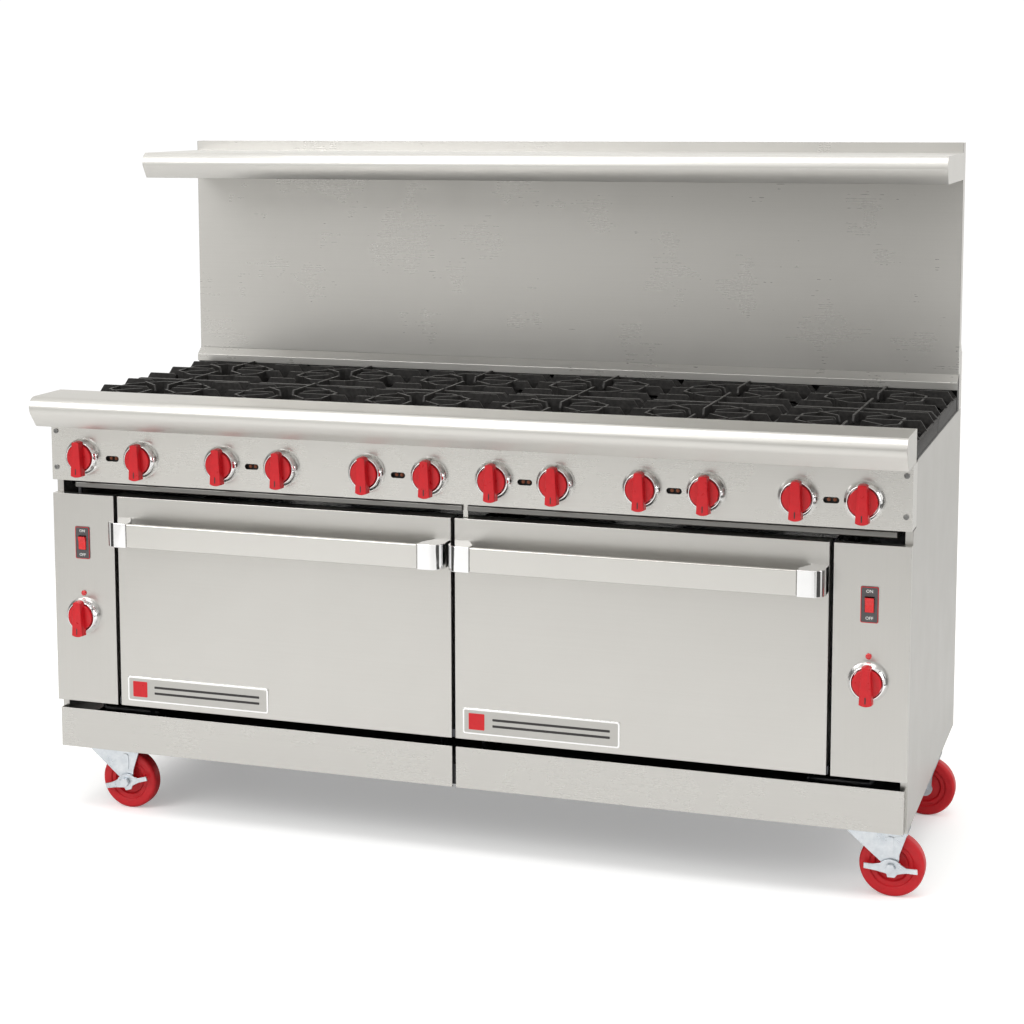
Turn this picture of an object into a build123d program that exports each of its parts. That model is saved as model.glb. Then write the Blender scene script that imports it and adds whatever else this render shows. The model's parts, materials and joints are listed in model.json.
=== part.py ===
"""Gas range with six columns of two burners, two ovens, a high shelf and casters.

Every piece is separate. Millimetres, +X to the right, +Y to the back, +Z up. The sizes here
are measured from the middle of the body. The right casters trail out past the body, so the
finished pieces are moved to put the origin in the middle of the whole footprint.
"""
from build123d import *
from math import acos, atan2, cos, radians, sin, sqrt
import os

os.makedirs("parts", exist_ok=True)

# ---- driving dimensions ------------------------------------------------------------------
width = 1829.0              # six 12 inch burner columns
depth = 876.0               # nose of the front rail to the back of the flue box
sheet = 1.5                 # thickness of the stainless sheet
half_w = width / 2
back_y = depth / 2
nose_y = -depth / 2
face_y = nose_y + 90        # front plane of the doors and of the control panel
side_front_y = face_y + 60  # front edge of the side panels beside the control panel
column_back_y = face_y + 20 # front edge of the side panels below the control panel
rear_panel_y = 398.0
riser_y = 380.0             # front plane of the riser
seam = 0.3                  # open seam between neighbouring sheets

frame_z = (150.0, 190.0)    # base frame, above the casters
frame_half_x = half_w - 22
kick_z = (146.0, 232.0)
door_z = (250.0, 707.0)
tray_z = (720.0, 733.0)
runner_z = (717.5, 719.5)   # runners that the crumb trays slide on
panel_z = (736.0, 861.0)
side_z = (143.0, 863.0)
nose_z = (861.0, 926.0)
nose_radius = 23.0
rail_back_y = -305.0        # back of the front rail, where the grates begin
rim_z = 866.5               # rim of the burner box, which the grates rest on
rail_top_z = 896.0          # top of the grates' side rails
finger_z = 916.0            # top of the grates' fingers
lip_z = (912.0, 928.0, 944.0)
flue_z = (864.0, 985.0, 1010.0)
shelf_z = (1368.0, 1397.0, 1426.0)
shelf_front_y = 94.0
riser_top = 1448.0

oven_x = {"left": -382.3, "right": 382.3}
door_half = 378.4           # half the width of a door
door_t = 46.0               # door thickness, outer skin to the oven's front frame
hinge_y, hinge_z = face_y + 10, door_z[0] + 8
hinge_pin_r = 4.0
cavity_half = 336.0         # half the inside width of an oven
cavity_z = (290.0, 646.0)
cavity_y = (face_y + 52, 300.0)
rack_z = (385.0, 505.0)
fan_z = 445.0

column_pitch = 304.8
columns = [column_pitch * (i - 2.5) for i in range(6)]
grate_y = {"front": -136.0, "rear": 199.5}
grate_size = (302.0, 333.0)
# middle of each pair of knobs, and how far each knob stands from it
knob_pairs = ((-769.0, 69.0), (-443.0, 68.0), (-117.0, 68.0),
              (153.0, 64.0), (457.0, 64.0), (762.0, 63.0))
knob_z = 790.0
stem_r = 4.0
valve_y = -312.0
manifold_z = 762.0
pipe_r = 13.35              # 3/4 inch pipe
neck_r = 12.9               # pipe between the elbow and the inlet stub
inlet_x = 868.0

control_x = {"left": -845.0, "right": 838.0}    # middle of the lower controls
control_edge_x = 769.0      # its edge beside the door
switch_z = {"left": 602.0, "right": 592.0}
light_z = 491.0
thermostat_z = 442.0

handle_z = 636.0
handle_half = 378.0
handle_y = face_y - 60      # front face of the handles

stem_x = 830.0              # swivel axes of the casters
trail = 51.0
wheel_r = 63.5
caster_y = {"front": face_y + 75, "rear": 232.0}
footprint_x = (stem_x + trail + wheel_r - half_w) / 2   # middle of the footprint
tray_x = {"left": (-862.0, 18.0), "right": (30.0, 886.0)}
divider_x = 24.0


# ---- helpers -----------------------------------------------------------------------------
def save(name, *builders):
    """Label a finished piece and write its STEP file; several builders stay separate solids."""
    piece = builders[0].part
    if len(builders) > 1:
        piece = Compound([solid for builder in builders for solid in builder.part.solids()])
    piece = piece.moved(Location((-footprint_x, 0, 0)))
    piece.label = name
    export_step(piece, f"parts/{name}.step")


def plate(x, y, z, mode=Mode.ADD):
    """A box from its limits along each axis, in the part being built."""
    with Locations(((x[0] + x[1]) / 2, (y[0] + y[1]) / 2, (z[0] + z[1]) / 2)):
        Box(abs(x[1] - x[0]), y[1] - y[0], z[1] - z[0], mode=mode)


def separate(*limits):
    """One builder per box, so that boxes that touch stay separate solids."""
    builders = []
    for x, y, z in limits:
        with BuildPart() as piece:
            plate(x, y, z)
        builders.append(piece)
    return builders


def mirrored(side, x0, x1):
    """Limits in X of a strip on the right (side 1) or of its twin on the left (side -1)."""
    return (side * x0, side * x1) if side > 0 else (-x1, -x0)


def front_plane(y):
    """The upright plane at depth y that faces the front, so extruding goes forwards."""
    return Plane.XZ.offset(-y)


# ---- base frame, panels and covers ---------------------------------------------------------
def make_base_frame():
    """Welded square tubes, the floor pan on them and the casters' top plates under them."""
    tube, wall, pan_t, plate_t = 40.0, 3.0, 2.0, 5.0
    y0, y1 = face_y + 10, rear_panel_y - seam
    pieces = []
    for y in (y0, y1 - tube):
        with BuildPart() as rail:
            with BuildSketch(Plane.YZ.offset(-frame_half_x)):
                with Locations((y + tube / 2, frame_z[0] + tube / 2)):
                    Rectangle(tube, tube)
                    Rectangle(tube - 2 * wall, tube - 2 * wall, mode=Mode.SUBTRACT)
            extrude(amount=2 * frame_half_x)
        pieces.append(rail)
    for x in (-frame_half_x + tube / 2, -stem_x / 2, 0, stem_x / 2, frame_half_x - tube / 2):
        with BuildPart() as cross_rail:
            with BuildSketch(front_plane(y1 - tube)):
                with Locations((x, frame_z[0] + tube / 2)):
                    Rectangle(tube, tube)
                    Rectangle(tube - 2 * wall, tube - 2 * wall, mode=Mode.SUBTRACT)
            extrude(amount=y1 - y0 - 2 * tube)
        pieces.append(cross_rail)
    span = (-frame_half_x, frame_half_x)
    pieces += separate((span, (y0, y1), (frame_z[1], frame_z[1] + pan_t)))
    for x in (-stem_x, stem_x):
        for y in caster_y.values():
            with BuildPart() as caster_plate:
                with Locations((x, y, frame_z[0] - plate_t / 2)):
                    Box(96, 96, plate_t)
                fillet(caster_plate.edges().filter_by(Axis.Z), 10)
            pieces.append(caster_plate)
    save("base_frame", *pieces)


def make_side_panel(side, name):
    """Outer side sheet with flanges turned in at the back, at the front and along the top."""
    step_z = panel_z[0] - 3
    with BuildPart() as panel:
        plate(mirrored(side, half_w - sheet, half_w), (side_front_y, back_y), side_z)
        plate(mirrored(side, half_w - sheet, half_w), (column_back_y, side_front_y),
              (side_z[0], step_z))
        plate(mirrored(side, half_w - 20, half_w), (back_y - sheet, back_y), side_z)
        for y, z in ((column_back_y, (side_z[0], step_z)), (side_front_y, (step_z, side_z[1]))):
            plate(mirrored(side, half_w - 15, half_w), (y, y + sheet), z)
        plate(mirrored(side, half_w - 20, half_w), (side_front_y, back_y),
              (side_z[1] - sheet, side_z[1]))
    save(name, panel)


def make_rear_panel():
    """Recessed back sheet with a hole for the gas pipe and rows of louvre slots."""
    half = half_w - sheet - seam
    bottom, top = frame_z[0], side_z[1] - sheet - seam
    with BuildPart() as panel:
        plate((-half, half), (rear_panel_y, rear_panel_y + sheet), (bottom, top))
        with BuildSketch(front_plane(rear_panel_y + sheet)):
            with Locations((inlet_x, manifold_z)):
                Circle(pipe_r + 1.5)
            for x in (-610, -215, 215, 610):
                with Locations((x, 700)):
                    with GridLocations(0, 22, 1, 5):
                        SlotOverall(150, 7)
        extrude(amount=sheet, mode=Mode.SUBTRACT)
    save("rear_panel", panel)


def make_control_panel():
    """Knob panel under the front rail, with stem holes, pilot slots and folded edges."""
    with BuildPart() as panel:
        plate((-half_w, half_w), (face_y, face_y + sheet), panel_z)
        plate((-half_w, half_w), (face_y, face_y + 18), (panel_z[0], panel_z[0] + sheet))
        plate((-half_w, half_w), (face_y, face_y + 18), (panel_z[1] - sheet, panel_z[1]))
        for side in (-1, 1):
            plate(mirrored(side, half_w - sheet, half_w),
                  (face_y, side_front_y - seam), panel_z)
        with BuildSketch(front_plane(face_y + sheet)):
            for pair, offset in knob_pairs:
                with Locations((pair - offset, knob_z), (pair + offset, knob_z)):
                    Circle(stem_r + 3)
                with Locations((pair, knob_z - 2)):
                    SlotOverall(31, 12)
        extrude(amount=sheet, mode=Mode.SUBTRACT)
    tab = separate(((divider_x - 5, divider_x + 5), (face_y + 12, face_y + 12 + sheet),
                    (door_z[1] + 1, panel_z[0])))
    save("control_panel", panel, *tab)


def nose_outline(inset):
    """Front rail in side view: flat top, round nose and a face that slopes back to the foot."""
    top, foot_z = nose_z[1] - inset, nose_z[0] + inset
    foot_y = face_y - 63 + inset
    radius = nose_radius - inset
    centre_y, centre_z = nose_y + nose_radius, nose_z[1] - nose_radius
    reach = sqrt((foot_y - centre_y) ** 2 + (foot_z - centre_z) ** 2)
    angle = atan2(foot_z - centre_z, foot_y - centre_y) - acos(radius / reach)
    tangent = (centre_y + radius * cos(angle), centre_z + radius * sin(angle))
    back = rail_back_y - inset
    Line((back, top), (centre_y, top))
    ThreePointArc((centre_y, top), (centre_y - radius * sin(radians(60)),
                                    centre_z + radius * cos(radians(60))), tangent)
    Line(tangent, (foot_y, foot_z))
    Line((foot_y, foot_z), (back, foot_z))
    Line((back, foot_z), (back, top))


def make_front_rail():
    """Hollow bull-nosed front rail with closed ends, open below behind the control panel."""
    with BuildPart() as rail:
        with BuildSketch(Plane.YZ.offset(-half_w)):
            with BuildLine():
                nose_outline(0)
            make_face()
        extrude(amount=width)
        with BuildSketch(Plane.YZ.offset(-half_w + sheet)):
            with BuildLine():
                nose_outline(sheet)
            make_face()
        extrude(amount=width - 2 * sheet, mode=Mode.SUBTRACT)
        plate((-half_w + sheet, half_w - sheet), (face_y + 18, rail_back_y - 4),
              (nose_z[0] - 1, nose_z[0] + sheet + 1), mode=Mode.SUBTRACT)
    save("front_rail", rail)


def make_front_panel(hand):
    """Lower control column beside an oven door, with openings for its three controls."""
    side = 1 if hand == "right" else -1
    x = control_x[hand]
    with BuildPart() as panel:
        plate(mirrored(side, control_edge_x, half_w), (face_y, face_y + sheet), door_z)
        plate(mirrored(side, half_w - sheet, half_w), (face_y, column_back_y - seam), door_z)
        plate(mirrored(side, control_edge_x, control_edge_x + sheet),
              (face_y, face_y + 46), door_z)
        for z in (door_z[0], door_z[1] - sheet):
            plate(mirrored(side, control_edge_x, half_w), (face_y, face_y + 18), (z, z + sheet))
        with BuildSketch(front_plane(face_y + sheet)):
            with Locations((x, switch_z[hand])):
                Rectangle(21, 34)
            with Locations((x, light_z)):
                Circle(5.3)
            with Locations((x, thermostat_z)):
                Circle(stem_r + 3)
        extrude(amount=sheet, mode=Mode.SUBTRACT)
    save(f"front_panel_{hand}", panel)


def make_kick_plates():
    """Two kick plates, each with a flange turned back along its foot and at its outer end."""
    inner, outer, face = 4.0, half_w - 5, face_y + 2
    pieces = []
    for side in (-1, 1):
        with BuildPart() as kick:
            plate(mirrored(side, inner, outer), (face, face + sheet), kick_z)
            plate(mirrored(side, outer - sheet, outer), (face, column_back_y - seam), kick_z)
            plate(mirrored(side, inner, outer), (face, face + 8), (kick_z[0], kick_z[0] + sheet))
        pieces.append(kick)
    save("kick_plates", *pieces)


def make_riser():
    """Double-walled riser on its flue box: sheets, the lip over the grates and two end caps."""
    low, jog, high = flue_z
    lip_y = riser_y - 19
    y0, y1, y2, y3 = riser_y, riser_y + 16, riser_y + 36, back_y
    inside = (-half_w + sheet, half_w - sheet)
    pieces = separate((inside, (y0, y0 + sheet), (lip_z[2], riser_top)),
                      (inside, (y0 + sheet, y1), (lip_z[2], lip_z[2] + sheet)),
                      (inside, (y1, y1 + sheet), (low, lip_z[2] + sheet)),
                      (inside, (y2 - sheet, y2), (high, riser_top)),
                      (inside, (y3 - sheet, y3), (low, jog)))
    slope = [(y3 - sheet, jog), (y3, jog), (y2, high), (y2 - sheet, high)]
    lip_points = [(lip_y, lip_z[0]), (lip_y, lip_z[1]), (riser_y, lip_z[2]),
                  (riser_y, lip_z[2] - 2), (lip_y + sheet, lip_z[1] - 1),
                  (lip_y + sheet, lip_z[0])]
    cap = [(y0, lip_z[2]), (y0, riser_top), (y2, riser_top), (y2, high),
           (y3, jog), (y3, low), (y1, low), (y1, lip_z[2])]
    for points, x, length in ((slope, -half_w + sheet, width - 2 * sheet),
                              (lip_points, -half_w, width),
                              (cap, -half_w, sheet), (cap, half_w - sheet, sheet)):
        with BuildPart() as piece:
            with BuildSketch(Plane.YZ.offset(x)):
                with BuildLine():
                    Polyline(*points, close=True)
                make_face()
            extrude(amount=length)
        pieces.append(piece)
    save("riser", *pieces)


def make_high_shelf():
    """Folded box shelf: round nose over a sloping face, end caps, open back at the riser."""
    low, fore, top = shelf_z
    front = shelf_front_y
    with BuildPart() as shelf:
        for x, length, inset, mode in ((-half_w, width, 0, Mode.ADD),
                                       (-half_w + sheet, width - 2 * sheet, sheet, Mode.SUBTRACT)):
            with BuildSketch(Plane.YZ.offset(x)):
                with BuildLine():
                    Line((riser_y, low + inset), (riser_y, top - inset))
                    Line((riser_y, top - inset), (front + 14, top - inset))
                    ThreePointArc((front + 14, top - inset),
                                  (front + 4 + 0.7 * inset, top - 9 - 0.7 * inset),
                                  (front + inset, fore))
                    Line((front + inset, fore), (front + 18 + inset, low + inset))
                    Line((front + 18 + inset, low + inset), (riser_y, low + inset))
                make_face()
            extrude(amount=length, mode=mode)
    save("high_shelf", shelf)


# ---- ovens -------------------------------------------------------------------------------
def make_oven_liner(side, name):
    """Oven box of separate sheets: front frame with hinge ears and pins, walls, floor, roof."""
    cx = oven_x[side]
    outward = 1 if side == "right" else -1
    flange_half = door_half + 3.5
    y0, y1 = cavity_y
    stand_z = frame_z[1] + 2 + seam
    outer = (cx - flange_half, cx + flange_half)
    frame_y = (y0, y0 + sheet)
    pieces = separate((outer, frame_y, (door_z[0] + 2, cavity_z[0])),
                      (outer, frame_y, (cavity_z[1], door_z[1] - 2)),
                      ((outer[0], cx - cavity_half), frame_y, cavity_z),
                      ((cx + cavity_half, outer[1]), frame_y, cavity_z))
    for hand in (-1, 1):
        with BuildPart() as ear:
            x = (cx + hand * (flange_half - 2.5), cx + hand * flange_half)
            plate((min(x), max(x)), (hinge_y - 8, y0), (hinge_z - 6, hinge_z + 10))
            with BuildSketch(Plane.YZ.offset(x[1])):
                with Locations((hinge_y, hinge_z)):
                    Circle(hinge_pin_r)
            extrude(amount=-hand * 16)
        pieces.append(ear)
    for hand in (-1, 1):
        with BuildPart() as wall:
            x = (cx + hand * cavity_half, cx + hand * (cavity_half + sheet))
            plate((min(x), max(x)), (y0 + sheet, y1), (stand_z, cavity_z[1] + sheet))
            for z in rack_z:
                x = (cx + hand * cavity_half, cx + hand * (cavity_half - 14))
                plate((min(x), max(x)), (y0 + 14, y1 - 50), (z - 6, z - 4))
            if hand == outward:
                with BuildSketch(Plane.YZ.offset(cx + hand * cavity_half)):
                    with Locations((y0 + 30, 215)):
                        Circle(9)
                extrude(amount=3, both=True, mode=Mode.SUBTRACT)
        pieces.append(wall)
    with BuildPart() as back_wall:
        plate((cx - cavity_half, cx + cavity_half), (y1, y1 + sheet),
              (stand_z, cavity_z[1] + sheet))
        with Locations(Location((cx, y1, fan_z), (90, 0, 0))):
            Cylinder(9, 8, mode=Mode.SUBTRACT)
    pieces.append(back_wall)
    inside = (cx - cavity_half, cx + cavity_half)
    pieces += separate((inside, (y0 + sheet, y1), (cavity_z[0] - 3, cavity_z[0])),
                       (inside, (y0 + sheet, y1), (cavity_z[1], cavity_z[1] + sheet)))
    save(name, *pieces)


def make_oven_racks():
    """Four wire racks that rest on the ledges of the oven walls."""
    half_x, y0, y1 = cavity_half - 8, cavity_y[0] + 18, 250.0
    frame_r, rod_r = 4.0, 2.5
    mid_y, length = (y0 + y1) / 2, y1 - y0
    with BuildPart() as rack:
        with Locations((-half_x, mid_y, 0), (half_x, mid_y, 0)):
            Cylinder(frame_r, length, rotation=(90, 0, 0))
        with Locations((0, y0, 0), (0, y1, 0)):
            Cylinder(frame_r, 2 * half_x, rotation=(0, 90, 0))
        with Locations((-half_x, y0, 0), (half_x, y0, 0), (-half_x, y1, 0), (half_x, y1, 0)):
            Sphere(frame_r)
        with Locations((0, mid_y - length / 4, 0), (0, mid_y + length / 4, 0)):
            Cylinder(rod_r, 2 * half_x, rotation=(0, 90, 0))
        with Locations((0, mid_y, 0)):
            with GridLocations(34, 0, 18, 1):
                Cylinder(rod_r, length, rotation=(90, 0, 0))
    with BuildPart() as racks:
        with Locations(*[(x, 0, z) for x in oven_x.values() for z in rack_z]):
            add(rack.part)
    save("oven_racks", racks)


def make_fan(side):
    """Convection fan wheel with its shaft, in front of the oven's back wall."""
    blade_y = (262.0, 288.0)
    cx = oven_x[side]
    with BuildPart() as fan:
        with Locations(Location((cx, blade_y[1], fan_z), (90, 0, 0))):
            Cylinder(88, 2, align=(Align.CENTER, Align.CENTER, Align.MAX))
            Cylinder(18, blade_y[1] - blade_y[0],
                     align=(Align.CENTER, Align.CENTER, Align.MIN))
        with BuildSketch(front_plane(blade_y[1])):
            with Locations((cx, fan_z)):
                with PolarLocations(58, 8, start_angle=0):
                    Rectangle(52, 2, rotation=28)
        extrude(amount=blade_y[1] - blade_y[0])
        with Locations(Location((cx, blade_y[1] + 12, fan_z), (90, 0, 0))):
            Cylinder(5, 34)
    save(f"fan_{side}", fan)


def make_fan_motors():
    """Fan motors behind the ovens, bored for the fans' shafts, with cooling fins."""
    motors = []
    for cx in oven_x.values():
        with BuildPart() as motor:
            with BuildSketch(front_plane(380)):
                with Locations((cx, fan_z)):
                    Circle(44)
            extrude(amount=74)
            with BuildSketch(front_plane(304)):
                with Locations((cx, fan_z)):
                    Rectangle(120, 60)
            extrude(amount=2.2)
            with BuildSketch(front_plane(330)):
                with Locations((cx, fan_z)):
                    Circle(5.08)
            extrude(amount=40, mode=Mode.SUBTRACT)
            with BuildSketch(front_plane(372)):
                with Locations((cx, fan_z)):
                    with PolarLocations(44, 12):
                        Rectangle(8, 3)
            extrude(amount=50, mode=Mode.SUBTRACT)
        motors.append(motor)
    save("fan_motors", *motors)


def make_door(side):
    """Outer skin, inner liner and handle of one oven door."""
    cx = oven_x[side]
    mid_z = (door_z[0] + door_z[1]) / 2
    height = door_z[1] - door_z[0]
    with BuildPart() as skin:
        with Locations((cx, face_y + 20, mid_z)):
            Box(2 * door_half, 40, height)
        fillet(skin.faces().sort_by(Axis.Y)[0].edges(), 1.5)
        with Locations((cx, face_y + 20 + sheet, mid_z)):
            Box(2 * (door_half - sheet), 40, height - 2 * sheet, mode=Mode.SUBTRACT)
        with Locations((cx, hinge_y, hinge_z)):
            Cylinder(hinge_pin_r + 0.08, 2 * door_half + 4, rotation=(0, 90, 0),
                     mode=Mode.SUBTRACT)
    save(f"door_skin_{side}", skin)

    back = face_y + door_t
    with BuildPart() as liner:
        plate((cx - door_half + 8, cx + door_half - 8), (back - 4, back - 4 + sheet),
              (door_z[0] + 16, door_z[1] - 6))
        with BuildSketch(Plane.XZ.offset(-(back - 4))):
            with Locations((cx, sum(cavity_z) / 2)):
                RectangleRounded(2 * cavity_half - 16, cavity_z[1] - cavity_z[0] - 20, 12)
        extrude(amount=-14, taper=12)
        with BuildSketch(Plane.XZ.offset(-(back - 4))):
            with Locations((cx, sum(cavity_z) / 2)):
                RectangleRounded(2 * cavity_half - 19, cavity_z[1] - cavity_z[0] - 23, 11)
        extrude(amount=-12.5, taper=12, mode=Mode.SUBTRACT)
        for hand in (-1, 1):
            x = (cx + hand * (door_half - 8), cx + hand * (door_half - 22))
            plate((min(x), max(x)), (face_y + sheet + 4, back - 4), (door_z[0] + 30, 330))
    save(f"door_liner_{side}", liner)

    bar_half = handle_half - 51
    bar_t, bar_h, cap_h = 10.0, 50.0, 52.0
    handle = separate(((cx - bar_half, cx + bar_half), (handle_y + 0.6, handle_y + bar_t),
                       (handle_z - bar_h / 2, handle_z + bar_h / 2)))
    for hand in (-1, 1):
        with BuildPart() as bracket:
            with BuildSketch(Plane.XY.offset(handle_z - cap_h / 2)):
                with BuildLine():
                    inner, outer = cx + hand * bar_half, cx + hand * handle_half
                    corner = outer - hand * 23
                    Line((inner, handle_y), (corner, handle_y))
                    ThreePointArc((corner, handle_y), (outer - hand * 5.5, handle_y + 10),
                                  (outer, handle_y + 30))
                    Polyline((outer, handle_y + 30), (outer, face_y), (inner + hand * 18, face_y),
                             (inner, handle_y + 24), (inner, handle_y))
                make_face()
            extrude(amount=cap_h)
            fillet(bracket.edges().filter_by(Axis.Z).group_by(Axis.Y)[0], 2)
        handle.append(bracket)
    save(f"door_handle_{side}", *handle)


# ---- burners and gas train -----------------------------------------------------------------
def make_burner_box():
    """Side and end walls, grate bars, divider and tray runners under the cooking top."""
    wall_x = 893.0
    y0, y1 = rail_back_y + 2, riser_y + 11.5
    inside = (-wall_x, wall_x)
    split_y = (grate_y["front"] + grate_y["rear"]) / 2
    pieces = []
    for side in (-1, 1):
        with BuildPart() as wall:
            plate(mirrored(side, wall_x, wall_x + sheet), (y0, y1), (runner_z[0], rim_z))
            plate(mirrored(side, wall_x, half_w - 0.5), (side_front_y, y1),
                  (side_z[1] + 0.2, rim_z))
        pieces.append(wall)
        runner_edge = abs(tray_x["left"][0]) if side < 0 else tray_x["right"][1]
        pieces += separate((mirrored(side, runner_edge - 12, wall_x), (side_front_y + 2, y1),
                            runner_z))
        with BuildPart() as side_flange:
            with BuildSketch(Plane.YZ.offset(side * (half_w - 0.5))):
                with BuildLine():
                    Polyline((riser_y - 13, rim_z), (y1, rim_z), (y1, 938),
                             (riser_y - 1, 938), (riser_y - 13, 927), close=True)
                make_face()
            extrude(amount=-side * sheet)
        pieces.append(side_flange)
    pieces += separate(
        (inside, (y0, y0 + sheet), (815, rim_z)),
        (inside, (y0 + sheet, y0 + 14), (850, rim_z)),
        (inside, (split_y - 8, split_y + 8), (850, rim_z)),
        (inside, (y1 - 26, y1), (850, rim_z)),
        ((divider_x - 1, divider_x + 1), (side_front_y + 2, y1), (runner_z[1], 850)),
        ((divider_x - 16, divider_x + 16), (side_front_y + 2, y1), runner_z),
        ((-half_w + 0.5, half_w - 0.5), (y1, y1 + sheet), (rim_z, 940)))
    with BuildPart() as back_wall:
        plate(inside, (y1, y1 + sheet), (745, rim_z))
        with BuildSketch(front_plane(y1 + sheet)):
            with Locations((inlet_x, manifold_z)):
                Circle(pipe_r + 1)
        extrude(amount=sheet, mode=Mode.SUBTRACT)
    save("burner_box", *pieces, back_wall)


def make_gas_burners():
    """Round cast burner heads with their mixing tubes, and one tube burner under each oven."""
    tube_y = -282.0
    head_z, head_r = 838.0, 46.0
    with BuildPart() as head:
        with BuildSketch(Plane.XZ):
            with BuildLine():
                Polyline((0, 0), (20, 0), (head_r - 12, 16), (head_r, 18), (head_r, 28),
                         (head_r - 6, 34), (16, 40), (0, 40), close=True)
            make_face()
        revolve(axis=Axis.Z)
        with PolarLocations(head_r, 24):
            Box(9, 2.4, 5, align=(Align.CENTER, Align.CENTER, Align.MIN), mode=Mode.SUBTRACT)
        with Locations((0, 0, 20)):
            with PolarLocations(head_r, 24):
                Box(8, 2.4, 6, mode=Mode.SUBTRACT)
    burners = []
    for column, (pair, offset) in zip(columns, knob_pairs):
        for row, knob_x in (("front", pair - offset), ("rear", pair + offset)):
            with BuildPart() as burner:
                with Locations((column, grate_y[row], head_z)):
                    add(head.part)
                start = Vector(knob_x, tube_y, knob_z)
                end = Vector(column, grate_y[row] - 18, head_z + 6)
                with BuildSketch(Plane(origin=start, z_dir=end - start)):
                    Circle(13)
                extrude(amount=(end - start).length)
                with BuildSketch(Plane(origin=start, z_dir=end - start)):
                    Circle(10)
                extrude(amount=(end - start).length * 0.5, mode=Mode.SUBTRACT)
            burners.append(burner)
    for cx in oven_x.values():
        with BuildPart() as oven_burner:
            with Locations((cx, 10, 236)):
                Cylinder(19, 500, rotation=(90, 0, 0))
            with Locations((cx, 10, 255)):
                with GridLocations(0, 24, 1, 18):
                    Box(24, 3, 8, mode=Mode.SUBTRACT)
        burners.append(oven_burner)
    save("gas_burners", *burners)


def make_gas_manifold():
    """Gas pipe along the front, back to the inlet stub, with a hex union at the rear panel."""
    left_end = -875.0
    stub_y = (rear_panel_y + sheet + 10.5, back_y - 6)
    bend = 26.0
    pieces = []
    corner = (inlet_x - bend, valve_y + bend)
    for start, normal, length, run_r in (
            ((left_end, valve_y), (1, 0, 0), corner[0] - left_end, pipe_r),
            ((inlet_x, corner[1]), (0, 1, 0), stub_y[0] - corner[1], neck_r),
            ((inlet_x, stub_y[0]), (0, 1, 0), stub_y[1] - stub_y[0], pipe_r)):
        with BuildPart() as run:
            with BuildSketch(Plane(origin=(*start, manifold_z), z_dir=normal)):
                Circle(run_r)
                Circle(pipe_r - 2.9, mode=Mode.SUBTRACT)
            extrude(amount=length)
        pieces.append(run)
    with BuildPart() as elbow:
        with BuildSketch(Plane(origin=(corner[0], valve_y, manifold_z), z_dir=(1, 0, 0))):
            Circle(pipe_r)
            Circle(pipe_r - 2.9, mode=Mode.SUBTRACT)
        revolve(axis=Axis((*corner, manifold_z), (0, 0, 1)), revolution_arc=90)
    pieces.append(elbow)
    for start, normal, length in (((left_end - 14, valve_y), (1, 0, 0), 14),
                                  ((inlet_x, stub_y[0] - 9.5), (0, 1, 0), 8)):
        with BuildPart() as hexagon:
            with BuildSketch(Plane(origin=(*start, manifold_z), z_dir=normal)):
                RegularPolygon(20, 6)
                if normal[1]:
                    Circle(neck_r, mode=Mode.SUBTRACT)
            extrude(amount=length)
        pieces.append(hexagon)
    drop_x, drop_y = -868.0, riser_y + 2
    top_z = manifold_z - pipe_r - seam
    routes = (((drop_x, valve_y, top_z), (drop_x, valve_y, thermostat_z),
               (control_x["left"] - 12, valve_y, thermostat_z)),
              ((inlet_x, drop_y, top_z), (inlet_x, drop_y, thermostat_z),
               (control_x["right"], drop_y - 120, thermostat_z),
               (control_x["right"], valve_y + 52, thermostat_z)))
    for hand, x in control_x.items():
        y = cavity_y[0] + 30
        reach = cavity_half - 8 if hand == "right" else 8 - cavity_half
        routes += (((x, y, thermostat_z - 32), (x, y, 215), (oven_x[hand] + reach, y, 215)),)
    for route in routes:
        with BuildPart() as tube:
            with BuildLine():
                FilletPolyline(*route, radius=7)
            with BuildSketch(Plane.XY.offset(route[0][2])):
                with Locations(route[0][:2]):
                    Circle(5)
            sweep()
        pieces.append(tube)
    save("gas_manifold", *pieces)


def make_gas_valves():
    """A valve for each burner on the manifold and a thermostat for each oven."""
    with BuildPart() as valve:
        with Locations((0, valve_y, knob_z - 1)):
            Box(24, 26, 26)
        with BuildSketch(front_plane(valve_y - 12)):
            with Locations((0, knob_z)):
                Circle(9)
        extrude(amount=12)
        with BuildSketch(front_plane(valve_y - 20)):
            with Locations((0, knob_z)):
                Circle(stem_r)
        extrude(amount=(valve_y - 20) - (face_y - 30))
        with BuildSketch(front_plane(valve_y + 27)):
            with Locations((0, knob_z)):
                RegularPolygon(8, 6)
        extrude(amount=18)
    with BuildPart() as thermostat:
        plate((-12, 22), (valve_y - 14, valve_y + 52), (thermostat_z - 32, thermostat_z + 30))
        with BuildSketch(front_plane(valve_y - 10)):
            with Locations((0, thermostat_z)):
                Circle(stem_r)
        extrude(amount=(valve_y - 10) - (face_y - 30))
    with BuildPart() as valves:
        for pair, offset in knob_pairs:
            with Locations((pair - offset, 0, 0), (pair + offset, 0, 0)):
                add(valve.part)
        with Locations(*[(x, 0, 0) for x in control_x.values()]):
            add(thermostat.part)
    save("gas_valves", valves)


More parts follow.
